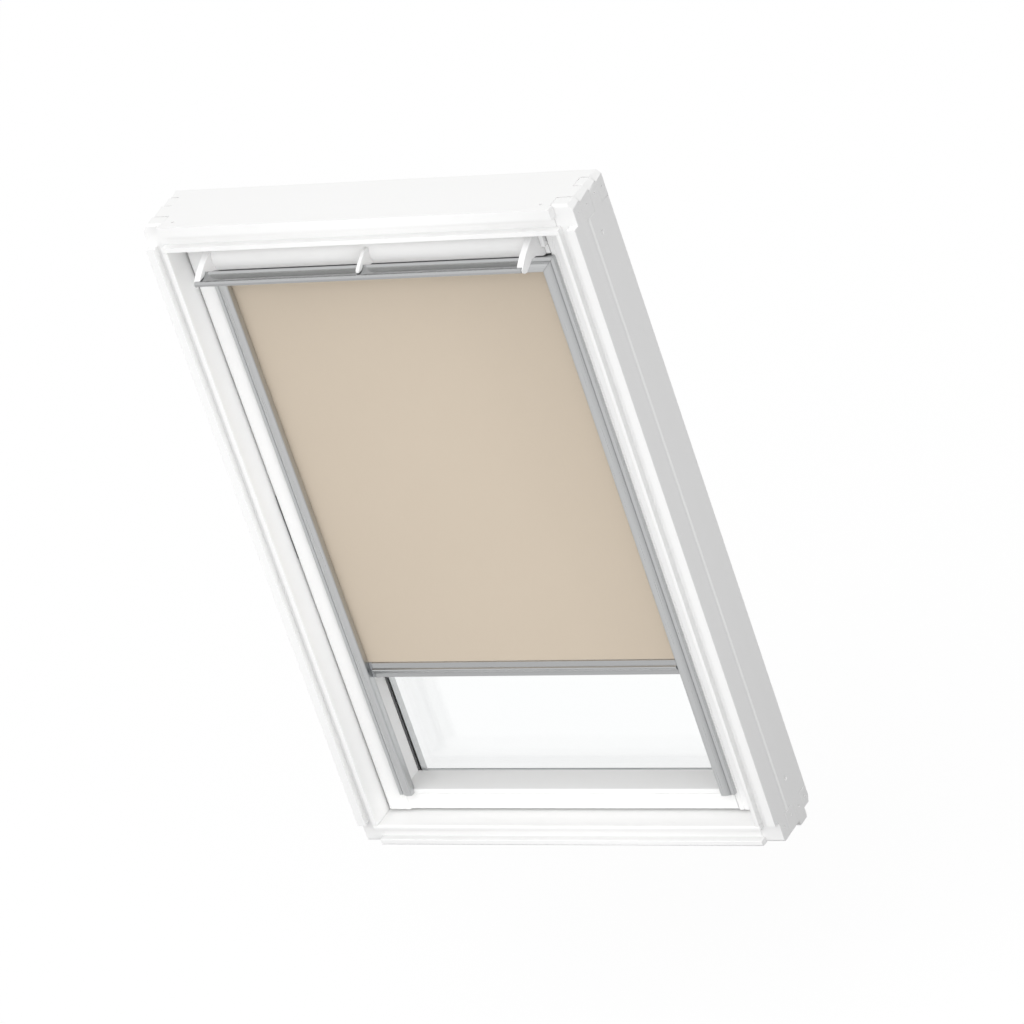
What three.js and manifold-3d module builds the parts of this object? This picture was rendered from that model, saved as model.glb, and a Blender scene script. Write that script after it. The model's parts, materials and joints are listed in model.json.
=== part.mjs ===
// Centre-pivot roof window with its blackout roller blind.
// Millimetres. X runs across the window, Y runs from the room to the roof, Z runs up the slope.
// The origin is the middle of the sill's lower outer face.

import * as THREE from 'three';
import { mergeVertices } from 'three/addons/utils/BufferGeometryUtils.js';
import Module from 'manifold-3d';

const wasm = await Module();
wasm.setup();

// Outer frame
const frameWidth = 780;
const frameHeight = 1178;
const frameDepth = 119;
const sideWidth = 37;
const headHeight = 45;
const sillHeight = 38;
const lipWidth = 8;
const grooveDepth = 12.7;
const sideGrooveWidth = 14;
const endGrooveWidth = 19.5;
const sideFlangeStop = 38;
const endFlangeStop = 34;
const flangeEndBevel = 2;
const outerLineSetback = 44;
const outerLineWidth = 6;
const outerLineDepth = 2.8;
const sillReliefHeight = 8;
const sillReliefBevel = 5;
const sillReliefRise = 11;
const fingerOverhang = 9;
const fingerBevel = 3.2;
const fingerNotchWidth = 1.4;
const fingerNotchDepth = 2.4;
const fingerShoulder = 13;
const cornerBevelRoom = 10;
const cornerBevelRoof = 6;
const nailFromEnd = 21;
const fingerShares = [0, 0.24, 0.54, 0.79, 1];

// Sash
const sashGap = 4.5;
const stileWidth = 41.5;
const bottomRailHeight = 39.5;
const topRailHeight = 50.5;
const sashSetback = 41.5;
const timberToGlass = 55.5;
const sashBackSetback = 106;
const rebateWidth = 22;
const edgeRound = 3;
const beadLineSetback = 10;
const beadLineWidth = 3;
const beadLineDepth = 1.6;

// Glazing
const paneThickness = 4;
const paneSpace = 16;
const paneEdgeGap = 2;
const spacerWidth = 7;
const spacerReach = 3.5;
const spacerSillDrop = 12;
const gasketThickness = 3;
const gasketWidth = 13;
const gasketSillWidth = 5;
const gasketReach = 2.5;
const gasketSillDrop = 2.5;
const coverThickness = 6;
const coverSetback = 3;
const coverSillDrop = 16;
const coverBevel = 5;
const coverInset = 6;
const coverStep = 2;

// Pivots of the sash
const hingeLength = 120;
const hingeWidth = 22;
const hingeThickness = 3;
const pivotRadius = 8;
const pivotEngagement = 10;
const pivotClearance = 0.4;
const hingeScrewRadius = 4;
const hingeScrewInset = 12;

// Ventilation flap and control bar
const barrelRadius = 26.5;
const barrelWall = 2.5;
const barrelHeadGap = 2;
const barrelSetback = 1.5;
const barrelRunningGap = 1.5;
const barrelOpenAngle = 75;
const plateFromAngle = -130;
const plateToAngle = 120;
const endPlateGap = 8;
const endPlateThickness = 11;
const endPlateSkin = 2;
const midBracketThickness = 6;
const armReach = 76;
const flapPinRadius = 4;
const flapPinGap = 1;
const bearingDepth = 30;
const bearingFront = 9;
const bearingHeight = 20;
const bearingGap = 0.6;
const barDepth = 28;
const barHeight = 14;
const barRise = 17;
const barNoseSetback = 79.5;

// Blind
const railWidth = 25.7;
const railOverlap = 6.7;
const railStand = 6.5;
const railCrown = 4;
const railDepth = 8;
const railWall = 1.8;
const railChamberWidth = 12;
const railSlot = 5;
const railSlotDepth = 14.5;
const railBackWall = 1.9;
const railBodyInset = 3.5;
const railFoot = 6;
const casingHeadGap = 2;
const casingDepth = 31;
const casingWall = 1.5;
const casingCapThickness = 6.6;
const rollerRadius = 7.5;
const rollerWall = 1.2;
const rollerPlugLength = 20;
const rollerPinRadius = 3;
const woundThickness = 2.2;
const rollRoom = 4;
const clothThickness = 0.4;
const clothDrop = 730.7;
const clothEdgeGap = 3.5;
const barStripDepth = 7;
const bottomBarHeight = 26.9;
const gripReach = 4;
const barCapLength = 5;
const barCapSetback = 0.4;
const gliderGap = 0.4;
const gliderLength = 24;

// Locks, seals and fasteners
const lockWidth = 90;
const lockDepth = 14;
const lockHeight = 30;
const lockWall = 3;
const strikerThickness = 2;
const sealThickness = 1.2;
const sealWidth = 7;
const sealSetback = 103.5;
const nailHoleRadius = 2;
const nailHoleDepth = 1.6;
const screwRadius = 3.6;
const screwLength = 6;
const screwRecess = 1.6;
const headScrewRadius = 2.4;
const headScrewInset = 5;
const bracketScrewFromEnd = 83;
const bracketScrewSetback = 71;

// Fits
const seat = 0.3;
const cutOver = 2;
const roundSides = 24;
const smallSides = 12;

const white = { color: 0xf3f3f1, roughness: 0.45, metalness: 0 };
const silver = { color: 0xb4b6b8, roughness: 0.35, metalness: 0.9 };
const steel = { color: 0x9a9da0, roughness: 0.4, metalness: 1 };
const darkGrey = { color: 0x55585a, roughness: 0.6, metalness: 0 };
const black = { color: 0x161616, roughness: 0.7, metalness: 0 };
const coverGrey = { color: 0x8f9496, roughness: 0.5, metalness: 0.6 };
const clear = { color: 0xe6f0f2, roughness: 0.05, metalness: 0, transparent: true, opacity: 0.3 };
const beige = { color: 0xd2c6b5, roughness: 0.9, metalness: 0 };

// Turns a closed geometry into a solid that can be joined and cut
function toSolid(geometry) {
  geometry.deleteAttribute('normal');
  geometry.deleteAttribute('uv');
  const merged = mergeVertices(geometry);
  const vertProperties = new Float32Array(merged.attributes.position.array);
  const triVerts = new Uint32Array(merged.index.array);
  return new wasm.Manifold(new wasm.Mesh({ numProp: 3, vertProperties, triVerts }));
}

// Turns a solid back into a geometry
function toGeometry(solid) {
  const mesh = solid.getMesh();
  const geometry = new THREE.BufferGeometry();
  geometry.setAttribute('position', new THREE.BufferAttribute(new Float32Array(mesh.vertProperties), 3));
  geometry.setIndex(new THREE.BufferAttribute(new Uint32Array(mesh.triVerts), 1));
  geometry.computeVertexNormals();
  return geometry;
}

function joined(solids) {
  return solids.reduce((whole, solid) => whole.add(solid));
}

function cut(solid, cutters) {
  return cutters.reduce((rest, cutter) => rest.subtract(cutter), solid);
}

function mirrored(solid) {
  return solid.mirror([1, 0, 0]);
}

const sweepBasis = {
  x: [new THREE.Vector3(0, 1, 0), new THREE.Vector3(0, 0, 1), new THREE.Vector3(1, 0, 0)],
  y: [new THREE.Vector3(0, 0, 1), new THREE.Vector3(1, 0, 0), new THREE.Vector3(0, 1, 0)],
  z: [new THREE.Vector3(1, 0, 0), new THREE.Vector3(0, 1, 0), new THREE.Vector3(0, 0, 1)],
};

// Sweeps an outline along an axis. Outlines are [y, z] along x, [z, x] along y and [x, y] along z.
function sweep(axis, outline, from, to) {
  const shape = new THREE.Shape(outline.map(([u, v]) => new THREE.Vector2(u, v)));
  const geometry = new THREE.ExtrudeGeometry(shape, { depth: to - from, bevelEnabled: false });
  const [u, v, w] = sweepBasis[axis];
  geometry.translate(0, 0, from);
  geometry.applyMatrix4(new THREE.Matrix4().makeBasis(u, v, w));
  return toSolid(geometry);
}

function block([x0, x1], [y0, y1], [z0, z1]) {
  const geometry = new THREE.BoxGeometry(x1 - x0, y1 - y0, z1 - z0);
  geometry.translate((x0 + x1) / 2, (y0 + y1) / 2, (z0 + z1) / 2);
  return toSolid(geometry);
}

// A round bar along x from one place to another, about a centre in y and z
function roundBar(radius, from, to, [y, z], sides = roundSides) {
  const geometry = new THREE.CylinderGeometry(radius, radius, to - from, sides);
  geometry.rotateZ(-Math.PI / 2);
  geometry.translate((from + to) / 2, y, z);
  return toSolid(geometry);
}

// A round bar along z, about a centre in x and y
function uprightBar(radius, from, to, [x, y], sides = smallSides) {
  const geometry = new THREE.CylinderGeometry(radius, radius, to - from, sides);
  geometry.rotateX(Math.PI / 2);
  geometry.translate(x, y, (from + to) / 2);
  return toSolid(geometry);
}

// Points on an arc about a centre, from one angle to another, in degrees
function arc([cu, cv], radius, fromDeg, toDeg, steps) {
  return Array.from({ length: steps + 1 }, (_, i) => {
    const angle = THREE.MathUtils.degToRad(fromDeg + (toDeg - fromDeg) * i / steps);
    return [cu + radius * Math.cos(angle), cv + radius * Math.sin(angle)];
  });
}

function named(name, solid, finish) {
  const mesh = new THREE.Mesh(toGeometry(solid), new THREE.MeshStandardMaterial(finish));
  mesh.name = name;
  return mesh;
}

// Places shared by the sub-assemblies
const roomFace = -frameDepth / 2;
const roofFace = frameDepth / 2;
const halfWidth = frameWidth / 2;
const openHalf = halfWidth - sideWidth;
const sillTop = sillHeight;
const headBottom = frameHeight - headHeight;
const middleHeight = frameHeight / 2;
const grooveFloor = roomFace + grooveDepth;

const sashHalf = openHalf - sashGap;
const stileInner = sashHalf - stileWidth;
const sashBottom = sillTop + sashGap;
const sashTop = headBottom - sashGap;
const sashFront = roomFace + sashSetback;
const rebateBack = sashFront + timberToGlass;
const sashBack = roomFace + sashBackSetback;
const lockFront = sashFront + barrelSetback + barrelRadius + barrelRunningGap + lockWall;
const lightBottom = sashBottom + bottomRailHeight;
const lightTop = sashTop - topRailHeight;
const rebateHalf = stileInner + rebateWidth;
const rebateBottom = lightBottom - rebateWidth;
const rebateTop = lightTop + rebateWidth;
const innerPaneFront = rebateBack + gasketThickness;
const outerPaneFront = innerPaneFront + paneThickness + paneSpace;
const glassBack = outerPaneFront + paneThickness;
const paneHalf = rebateHalf - paneEdgeGap;
const paneBottom = rebateBottom + paneEdgeGap;
const paneTop = rebateTop - paneEdgeGap;

const flapAxis = [sashFront + barrelSetback, headBottom - barrelHeadGap - barrelRadius];
const plateOuter = stileInner - endPlateGap;
const plateInner = plateOuter - endPlateThickness;

const casingTop = lightTop - casingHeadGap;
const railOuter = stileInner + railOverlap;
const railInner = railOuter - railWidth;
const railEdge = sashFront - railStand;
const slotFront = railEdge + railDepth;
const slotBack = slotFront + railSlot;
const bodyOuter = stileInner - seat;
const chamberFront = railEdge - railCrown + railWall;
const chamberInner = railInner + railWall;
const coverBottom = casingTop - railWidth;
const casingFront = slotFront + railBodyInset;
const casingBack = casingFront + casingDepth - railBodyInset;
const woundRadius = rollerRadius + seat + woundThickness;
const clothBack = (slotFront + slotBack) / 2 - clothThickness / 2;
const rollerAxis = [clothBack + seat + woundRadius, casingTop - casingWall - rollRoom - woundRadius];
const casingBottom = rollerAxis[1] - woundRadius - rollRoom - casingWall;
const capOuter = bodyOuter;
const capInner = capOuter - casingCapThickness;
const barTop = rollerAxis[1] - clothDrop;
const barBottom = barTop - bottomBarHeight;

// Nail holes and screws in the outer faces of the frame
const slicePlaces = fingerShares.map((share) => grooveFloor + (roofFace - grooveFloor) * share);
const sliceMiddles = slicePlaces.slice(1).map((place, i) => (place + slicePlaces[i]) / 2);
const nailHeights = sliceMiddles.map((place, slice) => nailFromEnd + slice % 2 * edgeRound);
const bracketScrewPlaces = { lower: bracketScrewFromEnd, upper: frameHeight - bracketScrewFromEnd };
const headScrewPlace = [openHalf - sideWidth / 2, grooveFloor + headScrewInset];

function nailHole(slice, height) {
  const from = halfWidth - nailHoleDepth;
  return roundBar(nailHoleRadius, from, halfWidth + cutOver, [sliceMiddles[slice], height], smallSides);
}

function bracketScrewHole(z) {
  const place = [roomFace + bracketScrewSetback, z];
  return roundBar(screwRadius + seat, halfWidth - screwLength - seat, halfWidth + cutOver, place, smallSides);
}

function bracketScrew(z) {
  const place = [roomFace + bracketScrewSetback, z];
  return roundBar(screwRadius, halfWidth - screwLength, halfWidth - screwRecess, place, smallSides);
}

function headScrew() {
  return uprightBar(headScrewRadius, frameHeight - screwLength, frameHeight - screwRecess, headScrewPlace);
}

// Start and end of a slice of the corner joint, clear of its neighbours
function sliceSpan(slice) {
  const from = slicePlaces[slice] + (slice > 0 ? seat / 2 : 0);
  return [from, slicePlaces[slice + 1] - (slice < 3 ? seat / 2 : 0)];
}

// Bevels the upper right corner from one depth to another, by the bevel given at each
function cornerCutter(ends) {
  return wasm.Manifold.hull(ends.flatMap(([y, bevel]) => [
    [halfWidth - bevel - cutOver, y, frameHeight + cutOver],
    [halfWidth + cutOver, y, frameHeight - bevel - cutOver],
    [halfWidth + cutOver, y, frameHeight + cutOver],
  ]));
}

// Bevels the upper outer edge of a corner joint, on the right, wider at the room side of each slice
function cornerCutters() {
  return sliceMiddles.map((_, slice) => {
    const room = slicePlaces[slice] - (slice > 0 ? 0 : cutOver);
    const roof = slicePlaces[slice + 1] + (slice < 3 ? 0 : cutOver);
    return cornerCutter([[room, cornerBevelRoom], [roof, cornerBevelRoof]]);
  });
}

// Runs the grooves beside a side member's fingers down over the bevelled corner, on the right
function cornerGrooves() {
  return [[0, 1], [2, 0], [2, 1]].map(([slice, end]) => {
    const edge = sliceSpan(slice)[end];
    const inward = end > 0 ? -1 : 1;
    const bevel = (end > 0 ? cornerBevelRoof : cornerBevelRoom) + fingerNotchDepth;
    return cornerCutter([[edge - inward * seat, bevel], [edge + inward * fingerNotchWidth, bevel]]);
  });
}

// A finger of a side member, with a bevelled front edge and a groove beside each neighbour at its free end
function sideFinger(slice, root, tip) {
  const [from, to] = sliceSpan(slice);
  const inward = Math.sign(root - tip);
  const grooveRoot = tip + inward * fingerNotchDepth;
  const near = from + fingerNotchWidth;
  const far = to - fingerNotchWidth;
  const frontEdge = slice > 0
    ? [[near, tip], [near, grooveRoot], [from, grooveRoot]]
    : [[from + fingerBevel, tip], [from, tip + inward * fingerBevel]];
  return [[from, root], [to, root], [to, grooveRoot], [far, grooveRoot], [far, tip], ...frontEdge];
}

// Side member of the frame, right hand
function frameSide() {
  const flangeWidth = sideWidth - lipWidth - sideGrooveWidth;
  const top = headBottom - seat;
  const bottom = sillTop + seat;
  const core = block([openHalf, halfWidth], [grooveFloor, roofFace], [bottom, top]);
  const lip = block([openHalf, openHalf + lipWidth], [roomFace, grooveFloor + cutOver], [bottom, top]);
  const flange = block(
    [halfWidth - flangeWidth, halfWidth],
    [roomFace, grooveFloor + cutOver],
    [sideFlangeStop, frameHeight - sideFlangeStop],
  );
  const fingers = [0, 2].flatMap((slice) => {
    const overhang = slice === 2 ? fingerOverhang : 0;
    const inner = slice === 2 ? openHalf + fingerShoulder : openHalf;
    return [
      sweep('x', sideFinger(slice, top - cutOver, frameHeight), inner, halfWidth),
      sweep('x', sideFinger(slice, bottom + cutOver, -overhang), inner, halfWidth),
    ];
  });
  const line = roomFace + outerLineSetback;
  const outerLine = sweep('z', [
    [halfWidth + cutOver, line], [halfWidth - outerLineDepth, line],
    [halfWidth, line + outerLineWidth], [halfWidth + cutOver, line + outerLineWidth],
  ], -cutOver - fingerOverhang, frameHeight + cutOver);
  const hingePocket = block(
    [openHalf - cutOver, openHalf + hingeThickness + seat],
    [-hingeWidth / 2 - seat, hingeWidth / 2 + seat],
    [middleHeight - hingeLength / 2 - seat, middleHeight + hingeLength / 2 + seat],
  );
  const pivotBore = roundBar(
    pivotRadius + pivotClearance, openHalf, openHalf + pivotEngagement + seat, [0, middleHeight],
  );
  const holes = [
    ...[0, 2].flatMap((slice) => [
      nailHole(slice, nailHeights[slice]), nailHole(slice, frameHeight - nailHeights[slice]),
    ]),
    ...Object.values(bracketScrewPlaces).map(bracketScrewHole),
  ];
  return cut(joined([core, lip, flange, ...fingers]), [
    outerLine, hingePocket, pivotBore, ...cornerCutters(), ...cornerGrooves(), ...holes,
  ]);
}

// Head or sill of the frame, drawn as the head and turned over for the sill
function frameEnd(isSill) {
  const flip = (z) => (isSill ? frameHeight - z : z);
  const innerEdge = frameHeight - (isSill ? sillHeight : headHeight);
  const span = (z0, z1) => [flip(z0), flip(z1)].sort((a, b) => a - b);
  const flangeBottom = innerEdge + lipWidth + endGrooveWidth;
  const coreHalf = openHalf - seat;
  const relief = slicePlaces[3];
  const coreOutline = isSill
    ? [
      [grooveFloor, flip(innerEdge)], [grooveFloor, 0], [relief, 0], [relief, sillReliefHeight],
      [roofFace - sillReliefBevel, sillReliefHeight], [roofFace, sillReliefHeight + sillReliefRise],
      [roofFace, flip(innerEdge)],
    ]
    : [[grooveFloor, innerEdge], [roofFace, innerEdge], [roofFace, frameHeight], [grooveFloor, frameHeight]];
  const core = sweep('x', coreOutline, -coreHalf, coreHalf);
  const strips = [[innerEdge, innerEdge + lipWidth], [flangeBottom, frameHeight]].map(([z0, z1]) => (
    block([-coreHalf, coreHalf], [roomFace, grooveFloor + cutOver], span(z0, z1))
  ));
  const lipReach = openHalf + lipWidth;
  const lipSpan = span(innerEdge, innerEdge + lipWidth);
  const lipEnds = block([-lipReach, lipReach], [roomFace, grooveFloor - seat], lipSpan);
  const flangeReach = halfWidth - endFlangeStop;
  const flangeEnds = sweep('z', [
    [-flangeReach, roomFace], [flangeReach, roomFace],
    [flangeReach + flangeEndBevel, grooveFloor - seat], [-flangeReach - flangeEndBevel, grooveFloor - seat],
  ], ...span(flangeBottom, frameHeight));
  const fingers = [1, 3].map((slice) => {
    const low = slice === 3 && isSill ? sillReliefHeight : flip(frameHeight);
    return block([-halfWidth, halfWidth], sliceSpan(slice), [low, flip(innerEdge)].sort((a, b) => a - b));
  });
  const shoulderHalf = openHalf + fingerShoulder - seat;
  const reliefLow = isSill ? sillReliefHeight : flip(frameHeight);
  const shoulders = [
    [[slicePlaces[2] - cutOver, relief], flip(frameHeight)],
    [[relief - cutOver, relief + cutOver], reliefLow],
  ].map(([y, z]) => block([-shoulderHalf, shoulderHalf], y, [z, flip(innerEdge)].sort((a, b) => a - b)));
  const nailHoles = [1, 3].flatMap((slice) => {
    const hole = nailHole(slice, flip(frameHeight - nailHeights[slice]));
    return [hole, mirrored(hole)];
  });
  const screwHole = uprightBar(
    headScrewRadius + seat, frameHeight - screwLength - seat, frameHeight + cutOver, headScrewPlace,
  );
  const roofBevel = isSill
    ? sweep('x', [
      [roofFace - sillReliefBevel, sillReliefHeight - cutOver],
      [roofFace - sillReliefBevel, sillReliefHeight],
      [roofFace, sillReliefHeight + sillReliefRise],
      [roofFace + cutOver, sillReliefHeight + sillReliefRise],
      [roofFace + cutOver, sillReliefHeight - cutOver],
    ], -halfWidth - cutOver, halfWidth + cutOver)
    : null;
  const strikerPocket = block(
    [-lockWidth / 2 - seat, lockWidth / 2 + seat],
    [lockFront - seat, lockFront + lockDepth + seat],
    [headBottom - cutOver, headBottom + strikerThickness + seat],
  );
  const corners = cornerCutters();
  const ownCutters = isSill
    ? [roofBevel]
    : [strikerPocket, screwHole, mirrored(screwHole), ...corners, ...corners.map(mirrored)];
  const whole = joined([core, ...strips, lipEnds, flangeEnds, ...fingers, ...shoulders]);
  return cut(whole, [...nailHoles, ...ownCutters]);
}

// A closed ring of strips round an opening, from an inner line outwards
function ring([insideX, outsideX], [insideLow, outsideLow], [insideHigh, outsideHigh], y) {
  const whole = block([-outsideX, outsideX], y, [outsideLow, outsideHigh]);
  const [y0, y1] = y;
  return cut(whole, [block([-insideX, insideX], [y0 - cutOver, y1 + cutOver], [insideLow, insideHigh])]);
}

// Rubber seal on the inner faces of the frame
function frameSeal() {
  const reach = seat + sealThickness;
  return ring(
    [openHalf - reach, openHalf - seat],
    [sillTop + reach, sillTop + seat],
    [headBottom - reach, headBottom - seat],
    [roomFace + sealSetback, roomFace + sealSetback + sealWidth],
  );
}

// Hinge plates: a plate let into a member, drilled for the pivot and for its two screws
const hingeScrewPlaces = {
  lower: [0, middleHeight - hingeLength / 2 + hingeScrewInset],
  upper: [0, middleHeight + hingeLength / 2 - hingeScrewInset],
};

function hingePlate(from, to) {
  const plate = block(
    [from, to],
    [-hingeWidth / 2, hingeWidth / 2],
    [middleHeight - hingeLength / 2, middleHeight + hingeLength / 2],
  );
  return cut(plate, [
    roundBar(pivotRadius + pivotClearance, from - cutOver, to + cutOver, [0, middleHeight]),
    ...Object.values(hingeScrewPlaces).map((place) => (
      roundBar(hingeScrewRadius + seat, from - cutOver, to + cutOver, place, smallSides)
    )),
  ]);
}

function hingeScrew(place) {
  return roundBar(hingeScrewRadius, openHalf, openHalf + hingeThickness, place, smallSides);
}

// Inner edge of a sash member seen on its end: a rounded nose and a fine line beside it
function noseOutline(inner, outward) {
  const nose = arc([inner + outward * edgeRound, sashFront + edgeRound], edgeRound, 180, 270, 4)
    .map(([u, v]) => [outward > 0 ? u : 2 * (inner + outward * edgeRound) - u, v]);
  const line = inner + outward * beadLineSetback;
  return [
    ...nose,
    [line - outward * beadLineWidth / 2, sashFront],
    [line, sashFront + beadLineDepth],
    [line + outward * beadLineWidth / 2, sashFront],
  ];
}

function stile() {
  const outline = [
    ...noseOutline(stileInner, 1),
    [sashHalf - edgeRound, sashFront],
    [sashHalf, sashFront + edgeRound],
    [sashHalf, sashBack],
    [rebateHalf, sashBack],
    [rebateHalf, rebateBack],
    [stileInner, rebateBack],
  ];
  const hingePocket = block(
    [sashHalf - hingeThickness - seat, sashHalf + cutOver],
    [-hingeWidth / 2 - seat, hingeWidth / 2 + seat],
    [middleHeight - hingeLength / 2 - seat, middleHeight + hingeLength / 2 + seat],
  );
  const pivotBore = roundBar(
    pivotRadius + seat, sashHalf - hingeThickness - seat - pivotEngagement, sashHalf, [0, middleHeight],
  );
  return cut(sweep('z', outline, sashBottom, sashTop), [hingePocket, pivotBore]);
}

function bottomRail() {
  const outline = [
    ...noseOutline(lightBottom, -1).map(([z, y]) => [y, z]),
    [sashFront, sashBottom + edgeRound],
    [sashFront + edgeRound, sashBottom],
    [sashBack, sashBottom],
    [sashBack, rebateBottom],
    [rebateBack, rebateBottom],
    [rebateBack, lightBottom],
  ];
  return sweep('x', outline, seat - stileInner, stileInner - seat);
}

// Top rail of the sash, hollowed at the front for the ventilation flap, with a cheek at each end
function topRail() {
  const outline = [
    [sashFront, lightTop], [rebateBack, lightTop], [rebateBack, rebateTop],
    [sashBack, rebateTop], [sashBack, sashTop], [sashFront, sashTop],
  ];
  const rail = sweep('x', outline, seat - stileInner, stileInner - seat);
  const cheek = plateOuter + bearingGap;
  const hollow = roundBar(barrelRadius + barrelRunningGap, -cheek, cheek, flapAxis, 2 * roundSides);
  const frontSpan = [lightTop - cutOver, sashTop + cutOver];
  const front = block([-cheek, cheek], [sashFront - cutOver, flapAxis[0]], frontSpan);
  const lockPocket = block(
    [-lockWidth / 2 - seat, lockWidth / 2 + seat],
    [lockFront - seat, lockFront + lockDepth + seat],
    [sashTop - lockHeight - seat, sashTop + cutOver],
  );
  const pocket = bearingBlock(seat);
  return cut(rail, [hollow, front, lockPocket, pocket, mirrored(pocket)]);
}

// Block that carries a pin of the flap, with a margin all round for the pocket that it sits in
function bearingBlock(margin) {
  const back = flapAxis[0] - bearingFront + bearingDepth;
  return block(
    [plateOuter + bearingGap, stileInner - seat + margin],
    [flapAxis[0] - bearingFront - margin, back + margin],
    [flapAxis[1] - bearingHeight / 2 - margin, flapAxis[1] + bearingHeight / 2 + margin],
  );
}

function flapBearing() {
  const bore = roundBar(flapPinRadius + pivotClearance, plateOuter, stileInner, flapAxis, smallSides);
  return cut(bearingBlock(0), [bore]);
}

function innerGasket() {
  const inside = stileInner - gasketReach;
  const below = lightBottom - gasketSillDrop;
  return ring(
    [inside, inside + gasketWidth],
    [below, below - gasketWidth],
    [lightTop, lightTop + gasketWidth],
    [rebateBack + seat, innerPaneFront - seat],
  );
}

function outerGasket() {
  const inside = stileInner + coverSetback;
  const below = lightBottom - coverSillDrop;
  return ring(
    [inside, inside + gasketWidth],
    [below, below - gasketSillWidth],
    [lightTop + coverSetback, lightTop + coverSetback + gasketWidth],
    [glassBack + seat, glassBack + gasketThickness - seat],
  );
}

function spacer() {
  const inside = stileInner - spacerReach;
  const below = lightBottom - spacerSillDrop;
  return ring(
    [inside, inside + spacerWidth],
    [below, below - spacerWidth],
    [lightTop + spacerReach, lightTop + spacerReach + spacerWidth],
    [innerPaneFront + paneThickness + seat, outerPaneFront - seat],
  );
}

function pane(front) {
  return block([-paneHalf, paneHalf], [front, front + paneThickness], [paneBottom, paneTop]);
}

// Weather covers over the edges of the glass, as an outline of [across, depth]
function coverOutline(inside, wall, outside) {
  const out = Math.sign(outside - inside);
  const under = glassBack + gasketThickness;
  const top = under + coverThickness;
  return [
    [inside, under], [inside, under + coverStep], [inside + out * coverBevel, top],
    [outside - out * coverBevel, top], [outside, top - coverBevel], [outside, sashBack + seat],
    [wall + out * seat, sashBack + seat], [wall + out * seat, under],
  ];
}

function sideCover() {
  const outline = coverOutline(stileInner + coverSetback, rebateHalf, sashHalf - coverInset);
  return sweep('z', outline, sashBottom + coverInset, sashTop - coverInset);
}

function endCover(inside, wall, edge) {
  const out = Math.sign(edge - inside);
  const outline = coverOutline(inside, wall, edge - out * coverInset).map(([z, y]) => [y, z]);
  const reach = stileInner + coverSetback - seat;
  return sweep('x', outline, -reach, reach);
}

// Ventilation flap: a half barrel between two end plates, with arms that carry the control bar.
// Shares are of the arm's reach towards the room and of the barrel's radius upwards.
const armTopShares = [
  [0.463, 0.475], [0.613, 0.29], [0.751, 0.1], [0.897, -0.16], [0.972, -0.32],
];
const armTipShares = [[1.02, -0.4], [1.015, -0.58], [0.96, -0.72]];
const armUnderShares = [[0.888, -0.78], [0.69, -0.575], [0.557, -0.43], [0.4, -0.51]];
const underBarShares = [[2, -0.3], [0.64, -0.3], [0.64, -2], [2, -2]];
const bracketTopShares = [[0, 0.475], ...armTopShares.slice(0, -1)];
const bracketUnderShares = [[0.9, -0.3], [0.64, -0.3], [0.557, -0.5], [0, -0.66]];

function flapPoint([reachShare, radiusShare]) {
  return [flapAxis[0] - reachShare * armReach, flapAxis[1] + radiusShare * barrelRadius];
}

function barrelShell() {
  const outer = arc(flapAxis, barrelRadius, barrelOpenAngle, 360 - barrelOpenAngle, roundSides);
  const inner = arc(flapAxis, barrelRadius - barrelWall, 360 - barrelOpenAngle, barrelOpenAngle, roundSides);
  return sweep('x', [...outer, ...inner], seat - plateInner, plateInner - seat);
}

// Control bar seen on its end, as shares of its depth from the rear and of its height
const barShares = [
  [0, 1], [0.11, 0.75], [0.36, 0.57], [0.68, 0.57], [0.9, 0.71], [1, 0.5],
  [0.95, 0.14], [0.7, 0], [0.2, 0.1], [0, 0.32],
];

function barOutline(margin) {
  const rear = flapAxis[0] - barNoseSetback + barDepth;
  const base = flapAxis[1] - barRise;
  return barShares.map(([depthShare, heightShare]) => [
    rear - depthShare * barDepth,
    base + heightShare * barHeight + margin,
  ]);
}

function controlBar() {
  const reach = plateOuter - endPlateSkin - seat;
  return sweep('x', barOutline(0), -reach, reach);
}

// Clears an arm where the control bar lies in it
function clearBar(solid, from, to) {
  return cut(solid, [-seat, 0, seat].map((margin) => sweep('x', barOutline(margin), from, to)));
}

function endPlate() {
  const disc = arc(flapAxis, barrelRadius, plateFromAngle, plateToAngle, roundSides);
  const outline = [...disc, ...[...armTopShares, ...armTipShares, ...armUnderShares].map(flapPoint)];
  const skinInner = plateOuter - endPlateSkin;
  const skin = sweep('x', outline, skinInner, plateOuter);
  const from = plateInner - cutOver;
  const body = clearBar(sweep('x', outline, plateInner, skinInner), from, skinInner);
  const below = sweep('x', underBarShares.map(flapPoint), from, skinInner);
  const pin = roundBar(flapPinRadius, plateOuter - seat, stileInner - flapPinGap, flapAxis, smallSides);
  return joined([skin, cut(body, [below]), pin]);
}

function middleBracket() {
  const half = midBracketThickness / 2;
  const outline = [...bracketTopShares, ...bracketUnderShares].map(flapPoint);
  const arm = clearBar(sweep('x', outline, -half, half), -half - cutOver, half + cutOver);
  return cut(arm, [roundBar(barrelRadius + seat, -half - cutOver, half + cutOver, flapAxis, 2 * roundSides)]);
}

// Blind: side rails and the front of the casing meet in a mitre
function mitreCutter(side) {
  const over = railWidth;
  const shift = side * seat / 2;
  const low = [railInner - over, coverBottom - over - shift];
  const high = [railOuter + over, casingTop + over - shift];
  const outline = side > 0
    ? [low, high, [railInner - over, casingTop + over]]
    : [low, high, [railOuter + over, coverBottom - over]];
  return sweep('y', outline.map(([x, z]) => [z, x]), railEdge - railWidth, slotBack + railWidth);
}

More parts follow.
